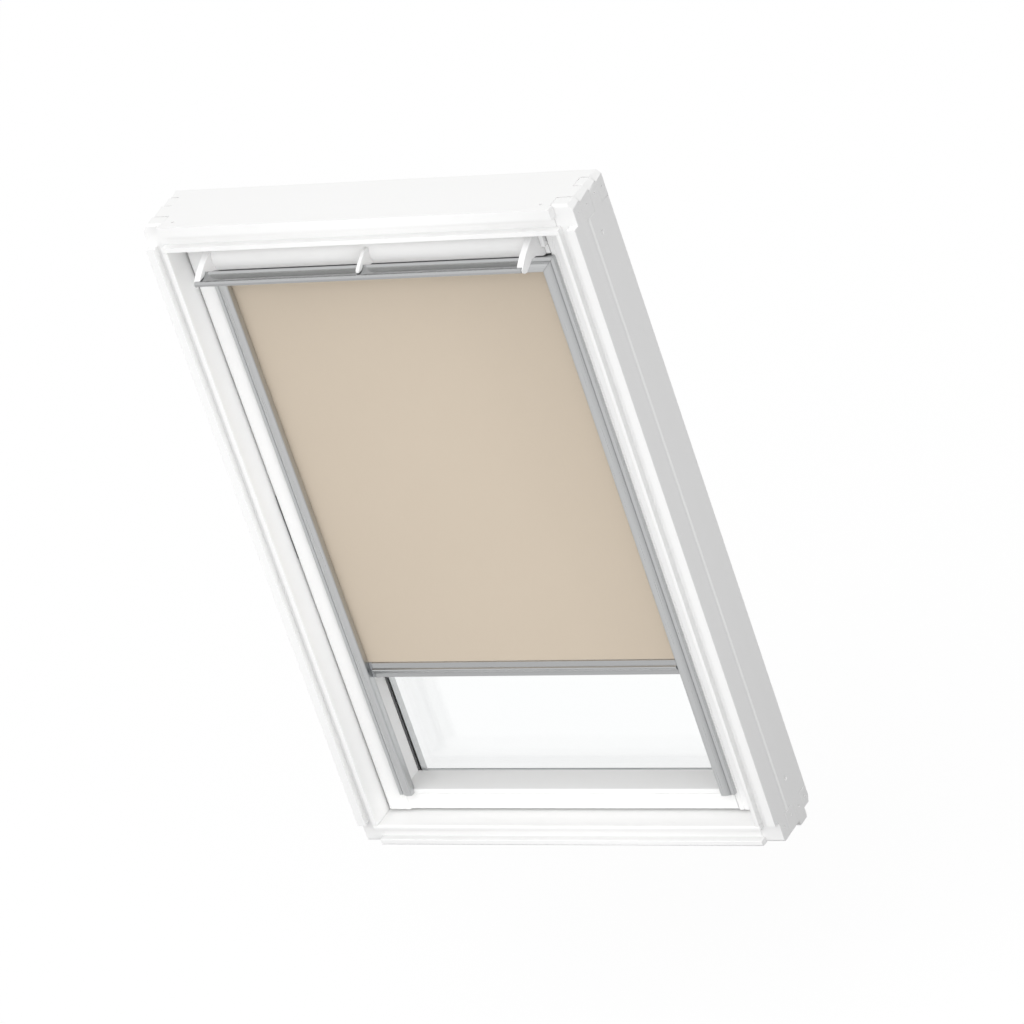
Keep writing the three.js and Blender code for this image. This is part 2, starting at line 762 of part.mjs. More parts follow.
// Front of a rail or of the casing seen on its end, from its inner edge outwards.
// Shares are of the rail's width and of its crown towards the room.
const railFrontShares = [
  [0, 0.2], [0.02, 0.55], [0.07, 0.85], [0.17, 1], [0.33, 1], [0.47, 0.85], [0.6, 0.55], [0.69, 0.15],
  [0.705, -0.2], [0.735, -0.2], [0.75, 0.1], [0.96, 0.1], [1, -0.1],
];

function railFront(inner) {
  return railFrontShares.map(([widthShare, crownShare]) => [
    inner + widthShare * railWidth,
    railEdge - crownShare * railCrown,
  ]);
}

function blindRail() {
  const outline = [
    ...railFront(railInner),
    [railOuter, sashFront - seat], [bodyOuter, sashFront - seat],
    [bodyOuter, slotBack + railBackWall], [railInner + railBodyInset, slotBack + railBackWall],
    [railInner + railBodyInset, slotBack], [railInner + railSlotDepth, slotBack],
    [railInner + railSlotDepth, slotFront], [railInner, slotFront],
  ];
  const low = lightBottom - railFoot;
  const rail = sweep('z', outline, low, casingTop);
  const back = slotBack + railBackWall + cutOver;
  const breadth = [railInner - cutOver, railOuter + cutOver];
  const foot = block(breadth, [sashFront - seat, back], [low - cutOver, lightBottom + seat]);
  const head = block(breadth, [slotFront, back], [casingBottom - seat, casingTop + cutOver]);
  const chamber = block(
    [chamberInner, chamberInner + railChamberWidth], [chamberFront, slotFront - railWall],
    [low - cutOver, casingTop + cutOver],
  );
  return cut(rail, [foot, head, chamber, mitreCutter(1)]);
}

function casingCover() {
  const outline = [
    ...railFront(coverBottom).map(([z, y]) => [y, z]),
    [casingFront - seat, casingTop], [casingFront - seat, casingTop - casingWall],
    [slotFront, casingTop - casingWall], [slotFront, coverBottom],
  ];
  const cover = sweep('x', outline, -railOuter, railOuter);
  const shelfSpan = [coverBottom - cutOver, casingTop + cutOver];
  const shelf = block([bodyOuter, railOuter + cutOver], [sashFront - seat, casingFront], shelfSpan);
  const left = mitreCutter(-1);
  const chamber = block(
    [-railOuter - cutOver, railOuter + cutOver], [chamberFront, slotFront - railWall],
    [coverBottom + railWall, coverBottom + railWall + railChamberWidth],
  );
  return cut(cover, [chamber, left, mirrored(left), shelf, mirrored(shelf)]);
}

function casingHousing() {
  const outline = [
    [casingFront, casingTop], [casingFront, casingTop - casingWall],
    [casingBack - casingWall, casingTop - casingWall], [casingBack - casingWall, casingBottom + casingWall],
    [slotBack + seat, casingBottom + casingWall], [slotBack + seat, casingBottom],
    [casingBack, casingBottom], [casingBack, casingTop],
  ];
  return sweep('x', outline, seat - capInner, capInner - seat);
}

function casingCap() {
  const cap = block([capInner, capOuter], [casingFront, casingBack], [casingBottom, casingTop]);
  const boreEnd = capInner + casingCapThickness / 2;
  return cut(cap, [roundBar(rollerPinRadius + seat, capInner - cutOver, boreEnd, rollerAxis, smallSides)]);
}

function rollerTube() {
  const reach = capInner - 2 * seat;
  const tube = roundBar(rollerRadius, -reach, reach, rollerAxis);
  return cut(tube, [roundBar(rollerRadius - rollerWall, -reach - cutOver, reach + cutOver, rollerAxis)]);
}

function woundCloth() {
  const reach = capInner - 2 * seat;
  const roll = roundBar(woundRadius, -reach, reach, rollerAxis);
  return cut(roll, [roundBar(rollerRadius + seat, -reach - cutOver, reach + cutOver, rollerAxis)]);
}

function rollerPlug() {
  const reach = capInner - 2 * seat;
  const pinEnd = capInner + casingCapThickness / 2 - seat;
  return joined([
    roundBar(rollerRadius - rollerWall - seat, reach - rollerPlugLength, reach, rollerAxis),
    roundBar(rollerPinRadius, reach - cutOver, pinEnd, rollerAxis, smallSides),
  ]);
}

const clothHalf = railInner + railSlotDepth - clothEdgeGap;

function cloth() {
  return block([-clothHalf, clothHalf], [clothBack - clothThickness, clothBack], [barTop + seat, rollerAxis[1]]);
}

// Bottom bar of the blind, seen on its end: a strip, a grip that stands out, and a lower edge
const gripShares = [[0, 1], [0, 0.66], [0.85, 0.6], [1, 0.56], [0.9, 0.51], [0.3, 0.33], [0, 0.22], [0, 0]];

const barFront = clothBack - barStripDepth / 2 - clothThickness / 2;

function bottomBarOutline() {
  return [
    ...gripShares.map(([reachShare, heightShare]) => [
      barFront - reachShare * gripReach,
      barBottom + heightShare * bottomBarHeight,
    ]),
    [barFront + barStripDepth, barBottom], [barFront + barStripDepth, barTop],
  ];
}

function bottomBar() {
  const reach = railInner - seat - barCapLength - seat;
  return sweep('x', bottomBarOutline(), -reach, reach);
}

function bottomBarCap() {
  const inner = railInner - seat - barCapLength;
  const depth = [barFront + barCapSetback, barFront + barStripDepth - barCapSetback];
  const body = block([inner, railInner - seat], depth, [barBottom, barTop]);
  const middle = (barTop + barBottom) / 2;
  const glider = block(
    [railInner - seat - cutOver, railInner + railSlotDepth - gliderGap],
    [slotFront + gliderGap, slotBack - gliderGap],
    [middle - gliderLength / 2, middle + gliderLength / 2],
  );
  return body.add(glider);
}

// Lock in the top rail and its striker in the head
function lockCase() {
  return block([-lockWidth / 2, lockWidth / 2], [lockFront, lockFront + lockDepth], [sashTop - lockHeight, sashTop]);
}

function striker() {
  const span = [headBottom, headBottom + strikerThickness];
  return block([-lockWidth / 2, lockWidth / 2], [lockFront, lockFront + lockDepth], span);
}

function group(...meshes) {
  const whole = new THREE.Group();
  whole.add(...meshes.flat());
  return whole;
}

// A piece on the right, and its mirror image on the left
function pairedAs(name, suffix, right, finish) {
  return [
    named(`${name}_right${suffix}`, right, finish),
    named(`${name}_left${suffix}`, mirrored(right), finish),
  ];
}

function pair(name, right, finish) {
  return pairedAs(name, '', right, finish);
}

const pivotPin = roundBar(
  pivotRadius, sashHalf - hingeThickness - pivotEngagement, openHalf + pivotEngagement, [0, middleHeight],
);

const frameGroup = group(
  pair('frame_side', frameSide(), white),
  named('frame_head', frameEnd(false), white),
  named('frame_sill', frameEnd(true), white),
  named('frame_seal', frameSeal(), black),
  pair('frame_hinge_plate', hingePlate(openHalf, openHalf + hingeThickness), steel),
  Object.entries(hingeScrewPlaces).flatMap(([end, place]) => (
    pairedAs('hinge_screw', `_${end}`, hingeScrew(place), steel)
  )),
  Object.entries(bracketScrewPlaces).flatMap(([end, z]) => (
    pairedAs('bracket_screw', `_${end}`, bracketScrew(z), white)
  )),
  pair('head_screw', headScrew(), white),
  named('striker_plate', striker(), steel),
);

const sashGroup = group(
  pair('sash_stile', stile(), white),
  named('sash_bottom_rail', bottomRail(), white),
  named('sash_top_rail', topRail(), white),
  pair('sash_hinge_plate', hingePlate(sashHalf - hingeThickness, sashHalf), steel),
  pair('pivot_pin', pivotPin, steel),
  pair('flap_bearing', flapBearing(), white),
  named('lock_case', lockCase(), steel),
);

const glazingGroup = group(
  named('inner_pane', pane(innerPaneFront), clear),
  named('outer_pane', pane(outerPaneFront), clear),
  named('spacer_frame', spacer(), silver),
  named('inner_gasket', innerGasket(), black),
  named('outer_gasket', outerGasket(), black),
  pair('side_cover', sideCover(), coverGrey),
  named('bottom_cover', endCover(lightBottom - coverSillDrop, rebateBottom, sashBottom), coverGrey),
  named('top_cover', endCover(lightTop + coverSetback, rebateTop, sashTop), coverGrey),
);

const flapGroup = group(
  named('flap_barrel', barrelShell(), white),
  pair('flap_end_plate', endPlate(), white),
  named('flap_middle_bracket', middleBracket(), white),
  named('control_bar', controlBar(), silver),
);

const blindGroup = group(
  pair('blind_rail', blindRail(), silver),
  named('casing_cover', casingCover(), silver),
  named('casing_housing', casingHousing(), silver),
  pair('casing_end_cap', casingCap(), darkGrey),
  named('roller_tube', rollerTube(), silver),
  named('wound_cloth', woundCloth(), beige),
  pair('roller_plug', rollerPlug(), darkGrey),
  named('blind_cloth', cloth(), beige),
  named('bottom_bar', bottomBar(), silver),
  pair('bottom_bar_cap', bottomBarCap(), darkGrey),
);

export default group(frameGroup, sashGroup, glazingGroup, flapGroup, blindGroup);
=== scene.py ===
"""Looks of a centre-pivot roof window with its blackout roller blind."""

import json
import logging
import math
from dataclasses import dataclass, replace
from enum import Enum
from typing import Any, Callable, Optional

import bmesh
import bpy
from bpy.types import Material, NodeSocket, Object, ShaderNode
from mathutils import Matrix, Vector

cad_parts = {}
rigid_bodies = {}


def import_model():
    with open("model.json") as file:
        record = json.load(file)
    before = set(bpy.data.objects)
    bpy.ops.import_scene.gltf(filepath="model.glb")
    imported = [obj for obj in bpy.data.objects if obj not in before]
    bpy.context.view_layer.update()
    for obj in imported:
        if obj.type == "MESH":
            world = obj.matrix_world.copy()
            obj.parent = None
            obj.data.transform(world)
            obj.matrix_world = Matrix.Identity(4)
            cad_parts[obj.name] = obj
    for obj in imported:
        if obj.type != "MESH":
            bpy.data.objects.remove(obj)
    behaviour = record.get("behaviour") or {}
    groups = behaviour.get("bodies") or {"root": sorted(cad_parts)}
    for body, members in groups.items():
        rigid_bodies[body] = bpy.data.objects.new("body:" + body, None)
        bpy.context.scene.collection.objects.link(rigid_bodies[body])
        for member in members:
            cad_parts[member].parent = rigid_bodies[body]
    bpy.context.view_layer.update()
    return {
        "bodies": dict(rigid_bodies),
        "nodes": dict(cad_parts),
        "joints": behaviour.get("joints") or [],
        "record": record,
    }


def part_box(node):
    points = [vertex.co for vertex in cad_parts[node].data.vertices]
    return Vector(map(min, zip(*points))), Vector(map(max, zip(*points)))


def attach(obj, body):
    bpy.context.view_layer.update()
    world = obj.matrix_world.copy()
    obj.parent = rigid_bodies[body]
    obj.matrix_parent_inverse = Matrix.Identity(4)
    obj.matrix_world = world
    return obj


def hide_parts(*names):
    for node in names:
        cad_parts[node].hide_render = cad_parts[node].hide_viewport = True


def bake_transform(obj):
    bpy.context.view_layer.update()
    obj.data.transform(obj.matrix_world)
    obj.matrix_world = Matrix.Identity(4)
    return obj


log = logging.getLogger("roof_window")

Colour = tuple[float, float, float]
Place = tuple[float, float, float]

MM = 0.001
# Corners nearer than MERGE become one, and places nearer than NEAR count as the same.
MERGE = 0.01 * MM
NEAR = 0.1 * MM
# Up to FLAT_DEG a surface is flat. Edges are eased from TURN_DEG and shaded sharp from SHARP_DEG.
FLAT_DEG = 0.5
TURN_DEG = 25.0
SHARP_DEG = 40.0


class Side(Enum):
    """The two hands of the window, seen from the room."""

    LEFT = -1.0
    RIGHT = 1.0

    @property
    def word(self) -> str:
        """The word that ends the names of pieces on this side."""
        return self.name.lower()


class Axis(Enum):
    """A direction of the window: across it, through it, or up the slope."""

    X = 0
    Y = 1
    Z = 2


# Shader arithmetic and node layout


class Value:
    """A number that a node gives, which takes part in Python arithmetic."""

    def __init__(self, bench: "Bench", socket: NodeSocket) -> None:
        """Wraps a socket.

        Args:
            bench: the material's bench.
            socket: the output that gives the number.
        """
        self.bench = bench
        self.socket = socket

    def _math(self, operation: str, first: Any, second: Any) -> "Value":
        """Adds a Math node.

        Args:
            operation: the node's operation.
            first: its first number or value.
            second: its second number or value.

        Returns:
            The node's result.
        """
        settings = {"operation": operation}
        return self.bench.value("ShaderNodeMath", settings, {0: first, 1: second})

    def __add__(self, other: Any) -> "Value":
        """Adds."""
        return self._math("ADD", self, other)

    def __mul__(self, other: Any) -> "Value":
        """Multiplies."""
        return self._math("MULTIPLY", self, other)

    __radd__ = __add__
    __rmul__ = __mul__

    def sine(self) -> "Value":
        """Takes the sine."""
        return self._math("SINE", self, 0.0)

    def dot(self, direction: Place) -> "Value":
        """Takes the dot product of a vector with a direction.

        Args:
            direction: the direction.

        Returns:
            The product.
        """
        settings, inputs = {"operation": "DOT_PRODUCT"}, {0: self, 1: direction}
        return self.bench.value("ShaderNodeVectorMath", settings, inputs, "Value")


class Bench:
    """Lays out the nodes of one material, or of the sky."""

    def __init__(self, name: str) -> None:
        """Starts an empty material.

        Args:
            name: the material's name.
        """
        self.material: Material = bpy.data.materials.new(name)
        self.material.use_nodes = True
        self.tree: Any = self.material.node_tree
        self.tree.nodes.clear()
        self.place = self.value("ShaderNodeTexCoord", output="Object")

    @classmethod
    def over(cls, tree: Any) -> "Bench":
        """Takes a node tree that has no material.

        Args:
            tree: the node tree.

        Returns:
            The bench.
        """
        bench = cls.__new__(cls)
        bench.tree = tree
        return bench

    def node(
        self,
        kind: str,
        settings: Optional[dict[str, Any]] = None,
        inputs: Optional[dict[Any, Any]] = None,
    ) -> ShaderNode:
        """Adds a node.

        Args:
            kind: the node's type.
            settings: its own settings, set before its sockets.
            inputs: the numbers, colours or links of its sockets.

        Returns:
            The node.
        """
        made = self.tree.nodes.new(kind)
        for key, setting in (settings or {}).items():
            setattr(made, key, setting)
        for key, given in (inputs or {}).items():
            if isinstance(given, Value):
                self.tree.links.new(given.socket, made.inputs[key])
            else:
                made.inputs[key].default_value = given
        return made

    def value(
        self,
        kind: str,
        settings: Optional[dict[str, Any]] = None,
        inputs: Optional[dict[Any, Any]] = None,
        output: Any = 0,
    ) -> Value:
        """Adds a node and gives one of its outputs.

        Args:
            kind: the node's type.
            settings: its own settings.
            inputs: the numbers, colours or links of its sockets.
            output: the output's name or place.

        Returns:
            The output.
        """
        return Value(self, self.node(kind, settings, inputs).outputs[output])

    def noise(
        self,
        scale: float,
        stretch: Place = (1, 1, 1),
        detail: float = 2.0,
        over: Optional[Value] = None,
    ) -> Value:
        """Gives noise over the piece, or over a map.

        Args:
            scale: how many waves a metre holds.
            stretch: how much closer the waves lie along each axis.
            detail: how much fine noise is added.
            over: the map's coordinates, where it isn't the piece's own place.

        Returns:
            The noise, about 0.5.
        """
        start = self.place if over is None else over
        place = self.value("ShaderNodeMapping", None, {"Vector": start, "Scale": stretch})
        inputs = {"Vector": place, "Scale": scale, "Detail": detail}
        return self.value("ShaderNodeTexNoise", None, inputs, "Fac")

    def shade(self, low: Colour, high: Colour, mask: Value) -> Value:
        """Mixes two colours.

        Args:
            low: the colour where the mask is 0.
            high: the colour where the mask is 1.
            mask: says how much of each colour shows.

        Returns:
            The mixed colour.
        """
        inputs = {0: mask, 6: (*low, 1.0), 7: (*high, 1.0)}
        return self.value("ShaderNodeMix", {"data_type": "RGBA"}, inputs, 2)

    def bump(self, height: Value, depth_mm: float) -> Value:
        """Gives a normal from a relief.

        Args:
            height: the relief, from 0 to 1.
            depth_mm: how deep it is.

        Returns:
            The normal.
        """
        inputs = {"Height": height, "Distance": depth_mm * MM, "Strength": 1.0}
        return self.value("ShaderNodeBump", None, inputs)

    def surface(self, sockets: dict[str, Any]) -> Material:
        """Ends the material in one surface.

        Args:
            sockets: the numbers, colours or links of the surface's sockets.

        Returns:
            The material.
        """
        return self.shown(self.value("ShaderNodeBsdfPrincipled", None, sockets))

    def matt(self, colour: Value) -> Value:
        """Gives a matt shader of a colour."""
        return self.value("ShaderNodeBsdfDiffuse", None, {"Color": colour})

    def glow(self, strength: Any) -> Value:
        """Gives a white shader that shines with a strength."""
        return self.value("ShaderNodeEmission", None, {"Color": (1, 1, 1, 1), "Strength": strength})

    def mixed(self, share: Any, first: Value, second: Value) -> Value:
        """Mixes two shaders.

        Args:
            share: how much of the second one shows.
            first: the first shader.
            second: the second shader.

        Returns:
            The mixed shader.
        """
        return self.value("ShaderNodeMixShader", None, {0: share, 1: first, 2: second})

    def shown(self, shader: Value) -> Material:
        """Ends the material in a shader.

        Args:
            shader: the shader.

        Returns:
            The material.
        """
        self.node("ShaderNodeOutputMaterial", None, {"Surface": shader})
        return self.material

    def rays(self, *kinds: str) -> Value:
        """Gives 1 on rays of some kinds, and 0 on all others.

        Args:
            kinds: the kinds of ray, such as Camera.

        Returns:
            The sum over the kinds.
        """
        path = self.node("ShaderNodeLightPath")
        return sum(Value(self, path.outputs[f"Is {kind} Ray"]) for kind in kinds)


# Finishes


def drawn_out(along: Axis, stretch: float) -> Place:
    """Gives the scales that draw noise out along one axis."""
    return tuple(stretch if axis is along else 1.0 for axis in Axis)


@dataclass(frozen=True)
class Lacquer:
    """White satin lacquer on timber, with the grain faintly raised along one axis."""

    colour: Colour = (0.9, 0.9, 0.896)
    shadow: Colour = (0.885, 0.885, 0.88)
    along: Axis = Axis.Z
    stretch: float = 0.04
    grain_per_m: float = 420.0
    grain_depth_mm: float = 0.02
    grain_share: float = 0.6
    relief_share: float = 0.7
    peel_per_m: float = 900.0
    broad_per_m: float = 3.0
    least_roughness: float = 0.34
    roughness_spread: float = 0.14
    specular: float = 0.4

    def material(self, name: str) -> Material:
        """Builds the finish.

        Args:
            name: the material's name.

        Returns:
            The material.
        """
        bench = Bench(name)
        stretch = drawn_out(self.along, self.stretch)
        grain = bench.noise(self.grain_per_m, stretch, detail=3.0)
        peel = bench.noise(self.peel_per_m, detail=1.0)
        broad = bench.noise(self.broad_per_m, stretch)
        mask = self.grain_share * grain + (1 - self.grain_share) * broad
        relief = self.relief_share * grain + (1 - self.relief_share) * peel
        return bench.surface({
            "Base Color": bench.shade(self.shadow, self.colour, mask),
            "Roughness": self.least_roughness + self.roughness_spread * grain,
            "Specular IOR Level": self.specular,
            "Normal": bench.bump(relief, self.grain_depth_mm),
        })


@dataclass(frozen=True)
class Moulding:
    """A moulded plastic with a fine even texture."""

    colour: Colour
    roughness: float = 0.4
    texture_mm: float = 0.02
    texture_per_m: float = 1600.0
    broad_per_m: float = 12.0
    darkest: float = 0.95
    roughness_spread: float = 0.12

    def material(self, name: str) -> Material:
        """Builds the finish.

        Args:
            name: the material's name.

        Returns:
            The material.
        """
        bench = Bench(name)
        texture = bench.noise(self.texture_per_m, detail=1.0)
        broad = bench.noise(self.broad_per_m)
        darker = tuple(self.darkest * part for part in self.colour)
        smoothest = self.roughness - self.roughness_spread / 2
        return bench.surface({
            "Base Color": bench.shade(darker, self.colour, broad),
            "Roughness": smoothest + self.roughness_spread * texture,
            "Normal": bench.bump(texture, self.texture_mm),
        })


@dataclass(frozen=True)
class Brushed:
    """Brushed metal, with streaks along one axis."""

    colour: Colour
    dark: Colour
    along: Axis
    roughness: float = 0.3
    streak_mm: float = 0.012
    stretch: float = 0.01
    streaks_per_m: float = 1400.0
    streak_share: float = 0.6
    bands_per_m: float = 160.0
    roughness_spread: float = 0.16

    def material(self, name: str) -> Material:
        """Builds the finish.

        Args:
            name: the material's name.

        Returns:
            The material.
        """
        bench = Bench(name)
        stretch = drawn_out(self.along, self.stretch)
        streak = bench.noise(self.streaks_per_m, stretch, detail=3.0)
        band = bench.noise(self.bands_per_m, stretch)
        mask = self.streak_share * streak + (1 - self.streak_share) * band
        smoothest = self.roughness - self.roughness_spread / 2
        return bench.surface({
            "Base Color": bench.shade(self.dark, self.colour, mask),
            "Metallic": 1.0,
            "Roughness": smoothest + self.roughness_spread * streak,
            "Normal": bench.bump(streak, self.streak_mm),
        })


@dataclass(frozen=True)
class Rubber:
    """Dark rubber with a dull skin."""

    colour: Colour = (0.11, 0.11, 0.112)
    lighter_by: float = 0.015
    skin_per_m: float = 700.0
    skin_depth_mm: float = 0.02
    least_roughness: float = 0.55
    roughness_spread: float = 0.2

    def material(self, name: str) -> Material:
        """Builds the finish.

        Args:
            name: the material's name.

        Returns:
            The material.
        """
        bench = Bench(name)
        skin = bench.noise(self.skin_per_m)
        lighter = tuple(part + self.lighter_by for part in self.colour)
        return bench.surface({
            "Base Color": bench.shade(self.colour, lighter, skin),
            "Roughness": self.least_roughness + self.roughness_spread * skin,
            "Normal": bench.bump(skin, self.skin_depth_mm),
        })


@dataclass(frozen=True)
class Glass:
    """Clear float glass, with the faint roll of its surface."""

    colour: Colour = (0.995, 1.0, 1.0)
    refraction: float = 1.45
    rolls_per_m: float = 2.0
    roll_depth_mm: float = 0.01

    def material(self, name: str) -> Material:
        """Builds the finish.

        Args:
            name: the material's name.

        Returns:
            The material.
        """
        bench = Bench(name)
        roll = bench.noise(self.rolls_per_m, detail=0.0)
        return bench.surface({
            "Base Color": (*self.colour, 1.0),
            "Roughness": 0.0,
            "Transmission Weight": 1.0,
            "IOR": self.refraction,
            "Normal": bench.bump(roll, self.roll_depth_mm),
        })


@dataclass(frozen=True)
class Weave:
    """Plain woven cloth, from threads that cross on the piece's own map in metres."""

    colour: Colour
    shadow: Colour
    threads_per_m: float = 2200.0
    relief_mm: float = 0.05
    relief_share: float = 0.7
    slubs_per_m: float = 700.0
    slub_stretch: float = 0.06
    clouds_per_m: float = 5.0
    thread_share: float = 0.3
    least_roughness: float = 0.82
    roughness_spread: float = 0.12
    specular: float = 0.2
    sheen: float = 0.08

    def material(self, name: str) -> Material:
        """Builds the finish.

        Args:
            name: the material's name.

        Returns:
            The material.
        """
        bench = Bench(name)
        flat = bench.value("ShaderNodeUVMap", {"uv_map": "cloth"})
        parts = bench.node("ShaderNodeSeparateXYZ", None, {"Vector": flat})
        turn = math.pi * self.threads_per_m
        warp, weft = ((Value(bench, parts.outputs[way]) * turn).sine() for way in ("X", "Y"))
        threads = 0.5 * (warp * warp + weft * weft)
        slub = bench.noise(self.slubs_per_m, (1, self.slub_stretch, 1), over=flat)
        cloudy = bench.noise(self.clouds_per_m)
        other_share = (1 - self.thread_share) / 2
        mask = self.thread_share * threads + other_share * (slub + cloudy)
        relief = self.relief_share * threads + (1 - self.relief_share) * slub
        return bench.surface({
            "Base Color": bench.shade(self.shadow, self.colour, mask),
            "Roughness": self.least_roughness + self.roughness_spread * slub,
            "Specular IOR Level": self.specular,
            "Sheen Weight": self.sheen,
            "Normal": bench.bump(relief, self.relief_mm),
        })


@dataclass(frozen=True)
class Paper:
    """The white floor: white with a soft shadow where it is seen, greyer in the light that it returns.

    What it returns is darker near the window: painted shade, which dims the light it sends onto the
    window's lower parts. What shiny pieces mirror of it is brightest in front.
    """

    share_of_white: float = 0.9
    colour: Colour = (0.9, 0.9, 0.9)
    lighter_by: float = 0.01
    grain_per_m: float = 40.0
    # The near colour is painted shade round the window, in the light that the floor returns.
    near: Colour = (0.22, 0.22, 0.225)
    far: Colour = (0.5, 0.5, 0.505)
    near_m: float = 0.5
    far_m: float = 2.2
    mirrored_mean: float = 0.5
    mirrored_tilt: float = 0.42
    brightest: Place = (-0.3, -0.95, 0.0)

    def material(self, name: str) -> Material:
        """Builds the finish.

        Args:
            name: the material's name.

        Returns:
            The material.
        """
        bench = Bench(name)
        grain = bench.noise(self.grain_per_m)
        lighter = tuple(part + self.lighter_by for part in self.colour)
        matt = bench.matt(bench.shade(self.colour, lighter, grain))
        shown = bench.mixed(self.share_of_white, matt, bench.glow(1.0))
        bearing = bench.value("ShaderNodeVectorMath", {"operation": "NORMALIZE"}, {0: bench.place})
        mirrored = bench.glow(self.mirrored_mean + self.mirrored_tilt * bearing.dot(self.brightest))
        length = {"operation": "LENGTH"}
        distance = bench.value("ShaderNodeVectorMath", length, {0: bench.place}, "Value")
        # The returned light darkens towards the window: painted shade on the floor.
        reach = bench.value(
            "ShaderNodeMapRange",
            {"interpolation_type": "SMOOTHSTEP"},
            {"Value": distance, "From Min": self.near_m, "From Max": self.far_m},
        )
        returned = bench.matt(bench.shade(self.near, self.far, reach))
        unseen = bench.mixed(bench.rays("Glossy"), returned, mirrored)
        return bench.shown(bench.mixed(bench.rays("Camera", "Transmission"), unseen, shown))


class Finishes:
    """The finishes of the window, each made once and kept by name."""

    def __init__(self) -> None:
        """Starts with the window's own finishes."""
        metal, metal_dark = (0.63, 0.638, 0.642), (0.55, 0.558, 0.562)
        # The grip bars' aluminium is a darker copy of the rails' aluminium: painted shade, with a
        # smoother finish.
        grip, grip_dark = (0.53, 0.537, 0.54), (0.44, 0.446, 0.45)
        zinc, zinc_dark = (0.55, 0.56, 0.58), (0.42, 0.43, 0.45)
        beige, beige_dark = (0.585, 0.505, 0.408), (0.54, 0.463, 0.37)
        self.kinds: dict[str, Any] = {
            "lacquer_upright": Lacquer(along=Axis.Z),
            "lacquer_across": Lacquer(along=Axis.X),
            "white_moulding": Moulding((0.9, 0.9, 0.9), roughness=0.36),
            "white_paint": Moulding((0.9, 0.9, 0.895), roughness=0.3, texture_mm=0.008),
            "grey_moulding": Moulding((0.3, 0.31, 0.32), roughness=0.5),
            "cover_paint": Moulding((0.13, 0.14, 0.145), roughness=0.42, texture_mm=0.03),
            "aluminium_upright": Brushed(metal, metal_dark, Axis.Z),
            "aluminium_across": Brushed(metal, metal_dark, Axis.X),
            # Painted shade: the same aluminium made darker for the control bar and bottom bar.
            "shaded_aluminium_grip": Brushed(grip, grip_dark, Axis.X, roughness=0.2),
            "zinc": Brushed(zinc, zinc_dark, Axis.Z, roughness=0.4, streak_mm=0.02),
            "rubber": Rubber(),
            "glass": Glass(),
            "cloth": Weave(beige, beige_dark),
        }
        self.made: dict[str, Material] = {}

    def get(self, name: str) -> Material:
        """Gives a finish, and makes it the first time.

        Args:
            name: the finish's name.

        Returns:
            The material.
        """
        if name not in self.made:
            self.made[name] = self.kinds[name].material(name)
        return self.made[name]


# Pieces


@dataclass(frozen=True)
class Make:
    """What a finished piece is made with: its body, finish and the solids it stands for, and a record
    slot that nothing reads.
    """

    body: str
    finish: str
    slot: str
    stands_for: tuple[str, ...]


@dataclass(frozen=True)
class Member:
    """How a timber member lies, and how its edges are rounded."""

    along: Axis
    finish: str
    wide_mm: float = 2.8
    narrow_mm: float = 0.8
    wide_from_mm: float = 40.0
    border_mm: float = 4.0
    sharp_under_mm: float = 0.7
    reach_share: float = 0.45
    round_segments: int = 3

    @property
    def across(self) -> Axis:
        """The direction across the member's front."""
        return Axis.X if self.along is Axis.Z else Axis.Z


UPRIGHT = Member(Axis.Z, "lacquer_upright")
ACROSS = Member(Axis.X, "lacquer_across")


def turns(edge: bmesh.types.BMEdge) -> bool:
    """Says whether the surface turns at an edge."""
    return len(edge.link_faces) == 2 and edge.calc_face_angle(0.0) > math.radians(TURN_DEG)


def lay_cloth_map(mesh: bpy.types.Mesh, place: Callable[[Vector, Vector], tuple[float, float]]) -> None:
    """Gives a cloth the map in metres that its threads follow.

    Args:
        mesh: the cloth's mesh.
        place: gives the place on the map of a corner, from the corner and the middle of its face.
    """
    flat = mesh.uv_layers.new(name="cloth")
    for face in mesh.polygons:
        for loop in face.loop_indices:
            corner = mesh.vertices[mesh.loops[loop].vertex_index].co
            flat.data[loop].uv = place(corner, face.center)


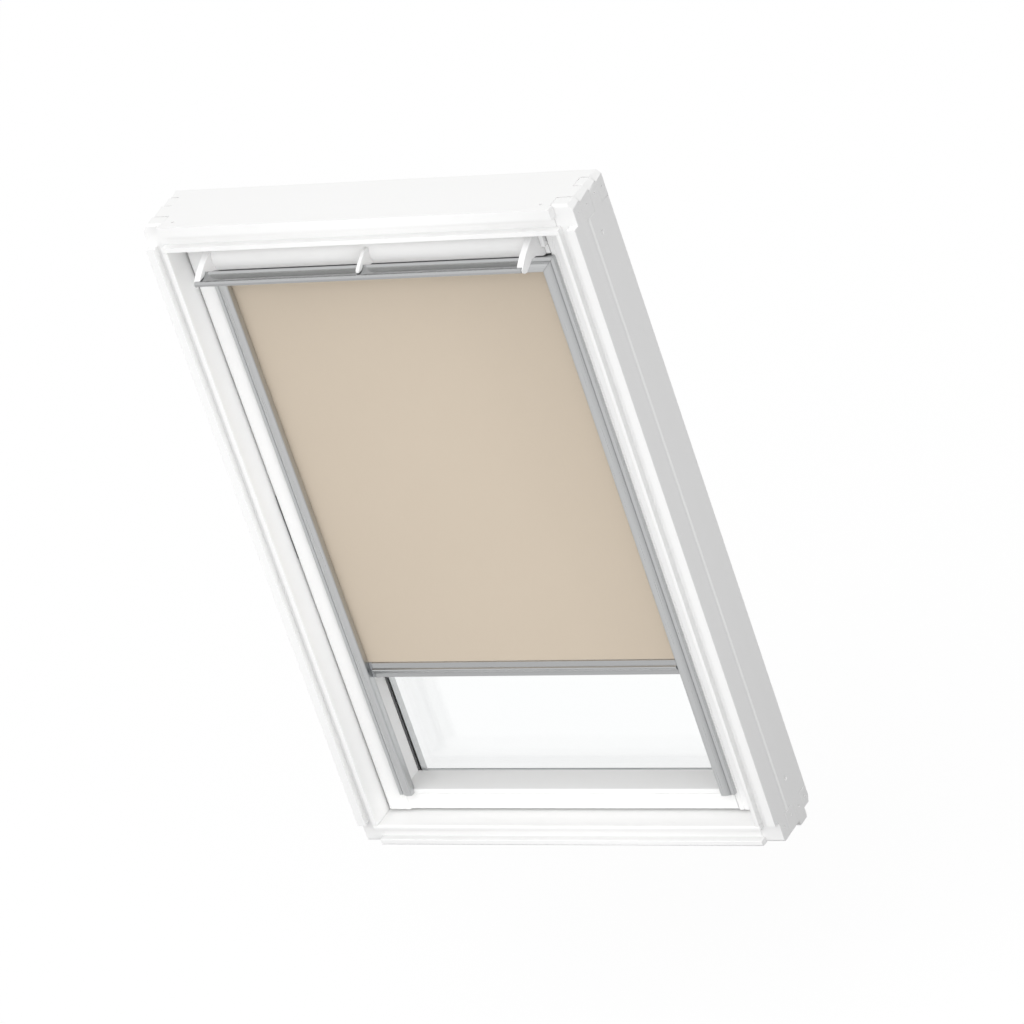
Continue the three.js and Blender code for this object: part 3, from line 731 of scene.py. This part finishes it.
@dataclass
class Assembly:
    """A sub-assembly, with the tools that shape and finish its pieces."""

    frame: dict[str, Any]
    finishes: Finishes
    body: str = "frame"
    ease_segments: int = 2
    round_profile: float = 0.5

    def build(self) -> None:
        """Builds and dresses the sub-assembly's pieces."""
        raise NotImplementedError

    def finished(
        self, name: str, shape: bmesh.types.BMesh, make: Make, sharp_deg: float = SHARP_DEG
    ) -> Object:
        """Turns a shape into a piece that moves with its body.

        Args:
            name: the piece's name.
            shape: the shape, which is freed.
            make: what the piece says.
            sharp_deg: the angle from which an edge stays sharp.

        Returns:
            The piece.
        """
        mesh = bpy.data.meshes.new(name)
        shape.to_mesh(mesh)
        shape.free()
        mesh.shade_smooth()
        mesh.set_sharp_from_angle(angle=math.radians(sharp_deg))
        piece = bpy.data.objects.new(name, mesh)
        bpy.context.scene.collection.objects.link(piece)
        mesh.materials.append(self.finishes.get(make.finish))
        weighted = piece.modifiers.new("even_shading", "WEIGHTED_NORMAL")
        weighted.keep_sharp = True
        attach(piece, make.body)
        if make.stands_for:
            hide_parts(*make.stands_for)
        log.info("%s: %d faces", name, len(mesh.polygons))
        return piece

    def dress(self, node: str, finish: str) -> None:
        """Gives a finish to a solid that stays as it is.

        Args:
            node: the solid's name.
            finish: the finish's name.
        """
        for slot in self.frame["nodes"][node].material_slots:
            slot.material = self.finishes.get(finish)
        log.info("%s keeps its solid", node)

    def merged_copy(self, node: str) -> bmesh.types.BMesh:
        """Copies a solid and merges its loose triangles.

        Args:
            node: the solid's name.

        Returns:
            The shape.
        """
        shape = bmesh.new()
        shape.from_mesh(self.frame["nodes"][node].data)
        bmesh.ops.remove_doubles(shape, verts=shape.verts, dist=MERGE)
        bmesh.ops.dissolve_limit(
            shape, angle_limit=math.radians(FLAT_DEG), verts=shape.verts, edges=shape.edges
        )
        return shape

    def eased(self, node: str, finish: str, slot: str, width_mm: float) -> Object:
        """Makes a piece from a solid with its edges eased.

        Args:
            node: the solid's name.
            finish: the finish's name.
            slot: the record's material slot.
            width_mm: how wide the eased edge is.

        Returns:
            The piece.
        """
        shape = self.merged_copy(node)
        bmesh.ops.bevel(
            shape,
            geom=[edge for edge in shape.edges if turns(edge)],
            offset=width_mm * MM,
            offset_type="OFFSET",
            segments=self.ease_segments,
            profile=self.round_profile,
            affect="EDGES",
            material=-1,
            clamp_overlap=True,
        )
        return self.finished(f"{node}_finished", shape, Make(self.body, finish, slot, (node,)))

    def planed(self, node: str, member: Member) -> Object:
        """Makes a timber member with wide rounds along its front's borders and small ones elsewhere.

        Args:
            node: the solid's name.
            member: says how the timber lies and how wide its rounds are.

        Returns:
            The piece.
        """
        shape = self.merged_copy(node)
        weights = shape.edges.layers.float.new("bevel_weight_edge")
        front = min(vert.co.y for vert in shape.verts)
        outer = max(abs(vert.co.x) for vert in shape.verts)
        across = [vert.co[member.across.value] for vert in shape.verts]
        border = member.border_mm * MM
        for edge in shape.edges:
            if not turns(edge):
                continue
            reach = member.reach_share * min(
                other.calc_length()
                for vert in edge.verts
                for other in vert.link_edges
                if other is not edge
            )
            if reach < member.sharp_under_mm * MM:
                continue
            ends = [vert.co for vert in edge.verts]
            along = abs(ends[0][member.along.value] - ends[1][member.along.value])
            on_front = all(abs(end.y - front) < NEAR for end in ends)
            on_outside = all(abs(abs(end.x) - outer) < NEAR for end in ends)
            in_groove = min(across) + border < ends[0][member.across.value] < max(across) - border
            wide = on_front and not (on_outside or in_groove) and along > member.wide_from_mm * MM
            width = member.wide_mm if wide else member.narrow_mm
            edge[weights] = min(width * MM, reach) / (member.wide_mm * MM)
        make = Make(self.body, member.finish, "white_timber", (node,))
        piece = self.finished(f"{node}_finished", shape, make)
        rounds = piece.modifiers.new("rounds", "BEVEL")
        rounds.limit_method = "WEIGHT"
        rounds.width = member.wide_mm * MM
        rounds.segments = member.round_segments
        rounds.use_clamp_overlap = True
        piece.modifiers.move(1, 0)
        return piece


@dataclass
class OuterFrame(Assembly):
    """The frame that is fixed in the roof.

    The sizes of a screw's head and of its recess are shares of the screw's radius.
    """

    plate_edge_mm: float = 0.4
    screw_sides: int = 24
    screw_sharp_deg: float = 30.0
    head_border: float = 0.18
    head_dish: float = 0.06
    recess_border: float = 0.3
    recess_depth: float = 0.35
    recess_foot: float = 0.6
    recess_arms: int = 4
    arm_width: float = 0.45
    arm_sharpness: int = 3

    def build(self) -> None:
        """Builds the members, seal, plates and screws."""
        for side in Side:
            self.planed(f"frame_side_{side.word}", UPRIGHT)
            self.eased(f"frame_hinge_plate_{side.word}", "zinc", "bare_steel", self.plate_edge_mm)
        for member in ("frame_head", "frame_sill"):
            self.planed(member, ACROSS)
        self.eased("striker_plate", "zinc", "bare_steel", self.plate_edge_mm)
        self.dress("frame_seal", "rubber")
        for node in self.frame["nodes"]:
            if "screw" in node:
                self.screw(node)

    def screw(self, node: str) -> None:
        """Makes a sunk screw, whose head faces away from the window's middle.

        Args:
            node: the solid that it stands for.
        """
        low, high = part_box(node)
        size = high - low
        axis = min(Axis, key=lambda a: abs(size[a.value] - min(size)))
        if abs(size.x - size.y) < NEAR:
            axis = Axis.Z
        if abs(size.y - size.z) < NEAR:
            axis = Axis.X
        centre = (low + high) / 2
        radius = max(size[(axis.value + 1) % 3], size[(axis.value + 2) % 3]) / 2
        outward = 1.0 if centre[axis.value] > 0 else -1.0
        length = size[axis.value]
        shape = self.upright_screw(radius, length)
        turn = Vector((0, 0, 1)).rotation_difference(
            Vector([outward if each is axis else 0.0 for each in Axis])
        )
        bmesh.ops.rotate(shape, verts=shape.verts, cent=(0, 0, 0), matrix=turn.to_matrix())
        start = centre.copy()
        start[axis.value] -= outward * length / 2
        bmesh.ops.translate(shape, verts=shape.verts, vec=start)
        painted = "hinge" not in node
        finish, slot = ("white_paint", "white_metal") if painted else ("zinc", "bare_steel")
        make = Make(self.body, finish, slot, (node,))
        self.finished(f"{node}_finished", shape, make, self.screw_sharp_deg)

    def upright_screw(self, radius: float, length: float) -> bmesh.types.BMesh:
        """Shapes a screw that stands on the origin with its head up.

        Args:
            radius: the screw's radius.
            length: the screw's length.

        Returns:
            The shape.
        """
        shape = bmesh.new()
        bmesh.ops.create_circle(shape, cap_ends=True, radius=radius, segments=self.screw_sides)
        raised = bmesh.ops.extrude_face_region(shape, geom=shape.faces[:])
        moved = [part for part in raised["geom"] if isinstance(part, bmesh.types.BMVert)]
        bmesh.ops.translate(shape, verts=moved, vec=(0, 0, length))
        bmesh.ops.recalc_face_normals(shape, faces=shape.faces)
        top = max(shape.faces, key=lambda face: face.calc_center_median().z)
        border = self.head_border * radius
        bmesh.ops.inset_region(shape, faces=[top], thickness=border, depth=0.0)
        bmesh.ops.translate(shape, verts=top.verts, vec=(0, 0, -self.head_dish * radius))
        self.cross_recess(shape, top, radius)
        shape.normal_update()
        return shape

    def cross_recess(self, shape: bmesh.types.BMesh, top: bmesh.types.BMFace, radius: float) -> None:
        """Sinks a recess with arms into a screw's head.

        Args:
            shape: the screw.
            top: the head's flat.
            radius: the screw's radius.
        """
        border = self.recess_border * radius
        bmesh.ops.inset_region(shape, faces=[top], thickness=border, depth=0.0)
        centre = top.calc_center_median()
        for vert in top.verts:
            reach = vert.co - centre
            turn = math.atan2(reach.y, reach.x)
            arm = abs(math.cos(self.recess_arms * turn / 2)) ** self.arm_sharpness
            vert.co = centre + reach * (self.arm_width + (1 - self.arm_width) * arm)
        sunk = bmesh.ops.extrude_face_region(shape, geom=[top])
        moved = [part for part in sunk["geom"] if isinstance(part, bmesh.types.BMVert)]
        foot = (self.recess_foot, self.recess_foot, 1)
        bmesh.ops.scale(shape, vec=foot, verts=moved, space=Matrix.Translation(-centre))
        bmesh.ops.translate(shape, verts=moved, vec=(0, 0, -self.recess_depth * radius))
        if top.is_valid:
            bmesh.ops.delete(shape, geom=[top], context="FACES_ONLY")


@dataclass
class Sash(Assembly):
    """The timber sash that turns on the pivots."""

    body: str = "sash"
    round_mm: float = 1.5
    plate_edge_mm: float = 0.4
    pin_edge_mm: float = 0.8
    bearing_edge_mm: float = 0.5
    lock_edge_mm: float = 0.6

    def build(self) -> None:
        """Builds the members and their fittings."""
        upright, across = (replace(member, wide_mm=self.round_mm) for member in (UPRIGHT, ACROSS))
        for side in Side:
            word = side.word
            self.planed(f"sash_stile_{word}", upright)
            self.eased(f"sash_hinge_plate_{word}", "zinc", "bare_steel", self.plate_edge_mm)
            self.eased(f"pivot_pin_{word}", "zinc", "bare_steel", self.pin_edge_mm)
            bearing = f"flap_bearing_{word}"
            self.eased(bearing, "white_moulding", "white_plastic", self.bearing_edge_mm)
        for member in ("sash_bottom_rail", "sash_top_rail"):
            self.planed(member, across)
        self.eased("lock_case", "zinc", "bare_steel", self.lock_edge_mm)


@dataclass
class Glazing(Assembly):
    """The double glazing and its covers."""

    body: str = "sash"
    gasket_edge_mm: float = 0.5
    spacer_edge_mm: float = 0.4
    cover_edge_mm: float = 0.8

    def build(self) -> None:
        """Builds the panes, spacer, gaskets and covers."""
        for pane in ("inner_pane", "outer_pane"):
            self.dress(pane, "glass")
        for gasket in ("inner_gasket", "outer_gasket"):
            self.eased(gasket, "rubber", "black_rubber", self.gasket_edge_mm)
        metal = "aluminium_upright"
        self.eased("spacer_frame", metal, "brushed_aluminium", self.spacer_edge_mm)
        for cover in ("side_cover_left", "side_cover_right", "bottom_cover", "top_cover"):
            self.eased(cover, "cover_paint", "grey_cover", self.cover_edge_mm)


@dataclass
class VentilationFlap(Assembly):
    """The ventilation flap with the control bar."""

    body: str = "flap"
    sheet_edge_mm: float = 0.4
    plate_edge_mm: float = 0.5

    def build(self) -> None:
        """Builds the barrel, plates, bracket and bar."""
        self.eased("flap_barrel", "white_paint", "white_metal", self.sheet_edge_mm)
        for side in Side:
            plate = f"flap_end_plate_{side.word}"
            self.eased(plate, "white_moulding", "white_plastic", self.plate_edge_mm)
        self.eased("flap_middle_bracket", "white_paint", "white_metal", self.plate_edge_mm)
        self.eased("control_bar", "shaded_aluminium_grip", "brushed_aluminium", self.sheet_edge_mm)


@dataclass
class Blind(Assembly):
    """The roller blind's rails, casing, roller and cloth."""

    body: str = "sash"
    section_edge_mm: float = 0.3
    cap_edge_mm: float = 0.4
    layers: int = 5
    layer_step_mm: float = 0.25
    tube_gap_mm: float = 0.1
    roll_steps: int = 48

    def build(self) -> None:
        """Builds the rails, casing, roller and cloth."""
        for side in Side:
            rail, cap = f"blind_rail_{side.word}", f"casing_end_cap_{side.word}"
            self.eased(rail, "aluminium_upright", "brushed_aluminium", self.section_edge_mm)
            self.eased(cap, "grey_moulding", "grey_plastic", self.cap_edge_mm)
        for sheet in ("casing_cover", "casing_housing"):
            self.eased(sheet, "aluminium_across", "brushed_aluminium", self.section_edge_mm)
        self.dress("roller_tube", "aluminium_across")
        for side in Side:
            self.dress(f"roller_plug_{side.word}", "grey_moulding")
        self.roll()
        self.cloth()

    def roll(self) -> None:
        """Winds the rest of the cloth on the tube, with its layers' edges showing at the ends."""
        low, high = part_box("wound_cloth")
        tube_low, tube_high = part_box("roller_tube")
        centre = (low + high) / 2
        inner = (tube_high.z - tube_low.z) / 2 + self.tube_gap_mm * MM
        outer = (high.z - low.z) / 2
        reach = (high.x - low.x) / 2
        layer = (outer - inner) / self.layers
        short = self.layer_step_mm * MM
        ends = [
            (reach - short * (step // 2 % 2), inner + layer * ((step + 1) // 2))
            for step in range(2 * self.layers)
        ]
        line = ends + [(-x, radius) for x, radius in reversed(ends)]
        shape = bmesh.new()
        verts = [shape.verts.new((x, centre.y, centre.z + radius)) for x, radius in line]
        edges = [shape.edges.new(pair) for pair in zip(verts, verts[1:] + verts[:1])]
        bmesh.ops.spin(
            shape,
            geom=[*verts, *edges],
            cent=centre,
            axis=(1, 0, 0),
            angle=2 * math.pi,
            steps=self.roll_steps,
            use_merge=True,
        )
        bmesh.ops.recalc_face_normals(shape, faces=shape.faces)
        make = Make("roller", "cloth", "beige_cloth", ("wound_cloth",))
        piece = self.finished("wound_cloth_finished", shape, make)

        def unrolled(corner: Vector, middle: Vector) -> tuple[float, float]:
            """Gives the place on the flat cloth of a corner of the roll.

            Args:
                corner: the corner.
                middle: the middle of its face.

            Returns:
                The place, in metres.
            """
            start = math.atan2(middle.z - centre.z, middle.y - centre.y)
            turn = math.atan2(corner.z - centre.z, corner.y - centre.y) - start
            return corner.x, (start + math.remainder(turn, 2 * math.pi)) * outer

        lay_cloth_map(piece.data, unrolled)

    def cloth(self) -> None:
        """Hangs the cloth between the roller and the bottom bar."""
        low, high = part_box("blind_cloth")
        middle = (low.y + high.y) / 2
        shape = bmesh.new()
        corners = ((low.x, low.z), (high.x, low.z), (high.x, high.z), (low.x, high.z))
        shape.faces.new([shape.verts.new((x, middle, z)) for x, z in corners])
        mesh = bpy.data.meshes.new("blind_cloth_finished")
        shape.to_mesh(mesh)
        shape.free()
        lay_cloth_map(mesh, lambda corner, _: (corner.x, corner.z))
        piece = bpy.data.objects.new("blind_cloth_finished", mesh)
        bpy.context.scene.collection.objects.link(piece)
        mesh.materials.append(self.finishes.get("cloth"))
        wall = piece.modifiers.new("thickness", "SOLIDIFY")
        wall.thickness = high.y - low.y
        wall.offset = 0.0
        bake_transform(piece)
        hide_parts("blind_cloth")
        log.info("blind_cloth_finished: %d faces", len(mesh.polygons))


@dataclass
class BottomBar(Assembly):
    """The bar at the cloth's lower edge, which slides in the rails."""

    body: str = "blind_bar"
    edge_mm: float = 0.3

    def build(self) -> None:
        """Builds the bar and its end caps."""
        self.eased("bottom_bar", "shaded_aluminium_grip", "brushed_aluminium", self.edge_mm)
        for side in Side:
            cap = f"bottom_bar_cap_{side.word}"
            self.eased(cap, "grey_moulding", "grey_plastic", self.edge_mm)


# Studio


@dataclass(frozen=True)
class SoftBox:
    """An upright soft light that faces one way and isn't seen or mirrored."""

    name: str
    at: Place
    facing: Place
    width_m: float
    height_m: float
    watts: float
    spread_deg: float = 180.0

    def build(self) -> None:
        """Hangs the light."""
        data = bpy.data.lights.new(self.name, "AREA")
        data.shape = "RECTANGLE"
        data.size = self.width_m
        data.size_y = self.height_m
        data.energy = self.watts
        data.spread = math.radians(self.spread_deg)
        light = bpy.data.objects.new(self.name, data)
        light.location = self.at
        light.rotation_euler = Vector(self.facing).to_track_quat("-Z", "Y").to_euler()
        light.visible_camera = False
        light.visible_glossy = False
        bpy.context.scene.collection.objects.link(light)


@dataclass(frozen=True)
class Sky:
    """Light from all round that grows evenly towards one direction."""

    mean: float
    tilt: float
    brightest: Place
    least: float = 0.05

    def strength(self, towards: Value) -> Value:
        """Gives how bright the sky is.

        Args:
            towards: the direction that is looked at.

        Returns:
            The brightness.
        """
        level = self.mean + self.tilt * towards.dot(self.brightest)
        return level.bench.value("ShaderNodeMath", {"operation": "MAXIMUM"}, {0: level, 1: self.least})


@dataclass
class Studio:
    """The white room, its light and the camera of the photograph."""

    floor_drop: float = 0.35
    floor_half: float = 60.0
    lens_mm: float = 254.74
    sensor_mm: float = 36.0
    seen_to_m: float = 100.0
    camera_at: Place = (5.9174, -8.3032, 5.8330)
    right: Place = (0.85872198, 0.42076757, -0.29249138)
    up: Place = (0.01990123, 0.54296585, 0.83951893)
    back: Place = (0.51205517, -0.7267343, 0.45788292)
    sky: Sky = Sky(mean=0.645, tilt=0.925, brightest=(0.0, -0.66, 0.75))
    mirrored_sky: Sky = Sky(mean=0.6, tilt=0.52, brightest=(-0.3, -0.9, 0.32))
    boxes: tuple[SoftBox, ...] = (
        SoftBox(
            "front_box",
            at=(0.6, -1.15, 0.5),
            facing=(-0.25, 1.0, 0.0),
            width_m=0.5,
            height_m=1.0,
            watts=2.1,
        ),
        SoftBox(
            "side_strip",
            at=(0.5, -0.55, 0.62),
            facing=(-0.87, 0.5, -0.06),
            width_m=0.3,
            height_m=1.5,
            watts=0.95,
            spread_deg=80.0,
        ),
    )

    def build(self) -> None:
        """Builds the floor, light and camera."""
        self.lay_floor()
        self.light_sky()
        for box in self.boxes:
            box.build()
        self.place_camera()

    def lay_floor(self) -> None:
        """Lays the white floor."""
        shape = bmesh.new()
        bmesh.ops.create_grid(shape, x_segments=1, y_segments=1, size=self.floor_half)
        bmesh.ops.translate(shape, verts=shape.verts, vec=(0, 0, -self.floor_drop))
        mesh = bpy.data.meshes.new("floor")
        shape.to_mesh(mesh)
        shape.free()
        floor = bpy.data.objects.new("floor", mesh)
        bpy.context.scene.collection.objects.link(floor)
        mesh.materials.append(Paper().material("floor_paper"))

    def light_sky(self) -> None:
        """Sets a soft sky that shows as white, lights evenly and is mirrored with more contrast."""
        world = bpy.data.worlds.new("sky")
        bpy.context.scene.world = world
        world.use_nodes = True
        world.node_tree.nodes.clear()
        bench = Bench.over(world.node_tree)
        towards = bench.value("ShaderNodeTexCoord", output="Generated")
        lit, mirrored, white = (
            bench.value("ShaderNodeBackground", None, {"Color": (1, 1, 1, 1), "Strength": strength})
            for strength in (self.sky.strength(towards), self.mirrored_sky.strength(towards), 1.0)
        )
        unseen = bench.mixed(bench.rays("Glossy"), lit, mirrored)
        both = bench.mixed(bench.rays("Camera", "Transmission"), unseen, white)
        bench.node("ShaderNodeOutputWorld", None, {"Surface": both})

    def place_camera(self) -> None:
        """Places the camera where the photograph was taken."""
        data = bpy.data.cameras.new("camera")
        data.lens = self.lens_mm
        data.sensor_width = self.sensor_mm
        data.clip_end = self.seen_to_m
        camera = bpy.data.objects.new("camera", data)
        columns = Matrix((self.right, self.up, self.back)).transposed().to_4x4()
        camera.matrix_world = Matrix.Translation(self.camera_at) @ columns
        bpy.context.scene.collection.objects.link(camera)
        bpy.context.scene.camera = camera


def corners(box: tuple[Vector, Vector]) -> list[list[float]]:
    """Gives a box's corners as plain lists."""
    return [list(corner) for corner in box]


def main() -> None:
    """Builds the window piece by piece, then the room round it."""
    logging.basicConfig(level=logging.INFO, format="%(name)s: %(message)s")
    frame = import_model()
    bpy.context.scene.view_settings.view_transform = "Standard"
    finishes = Finishes()
    for kind in (OuterFrame, Sash, Glazing, VentilationFlap, Blind, BottomBar):
        kind(frame, finishes).build()
    Studio().build()


if __name__ == "__main__":
    main()
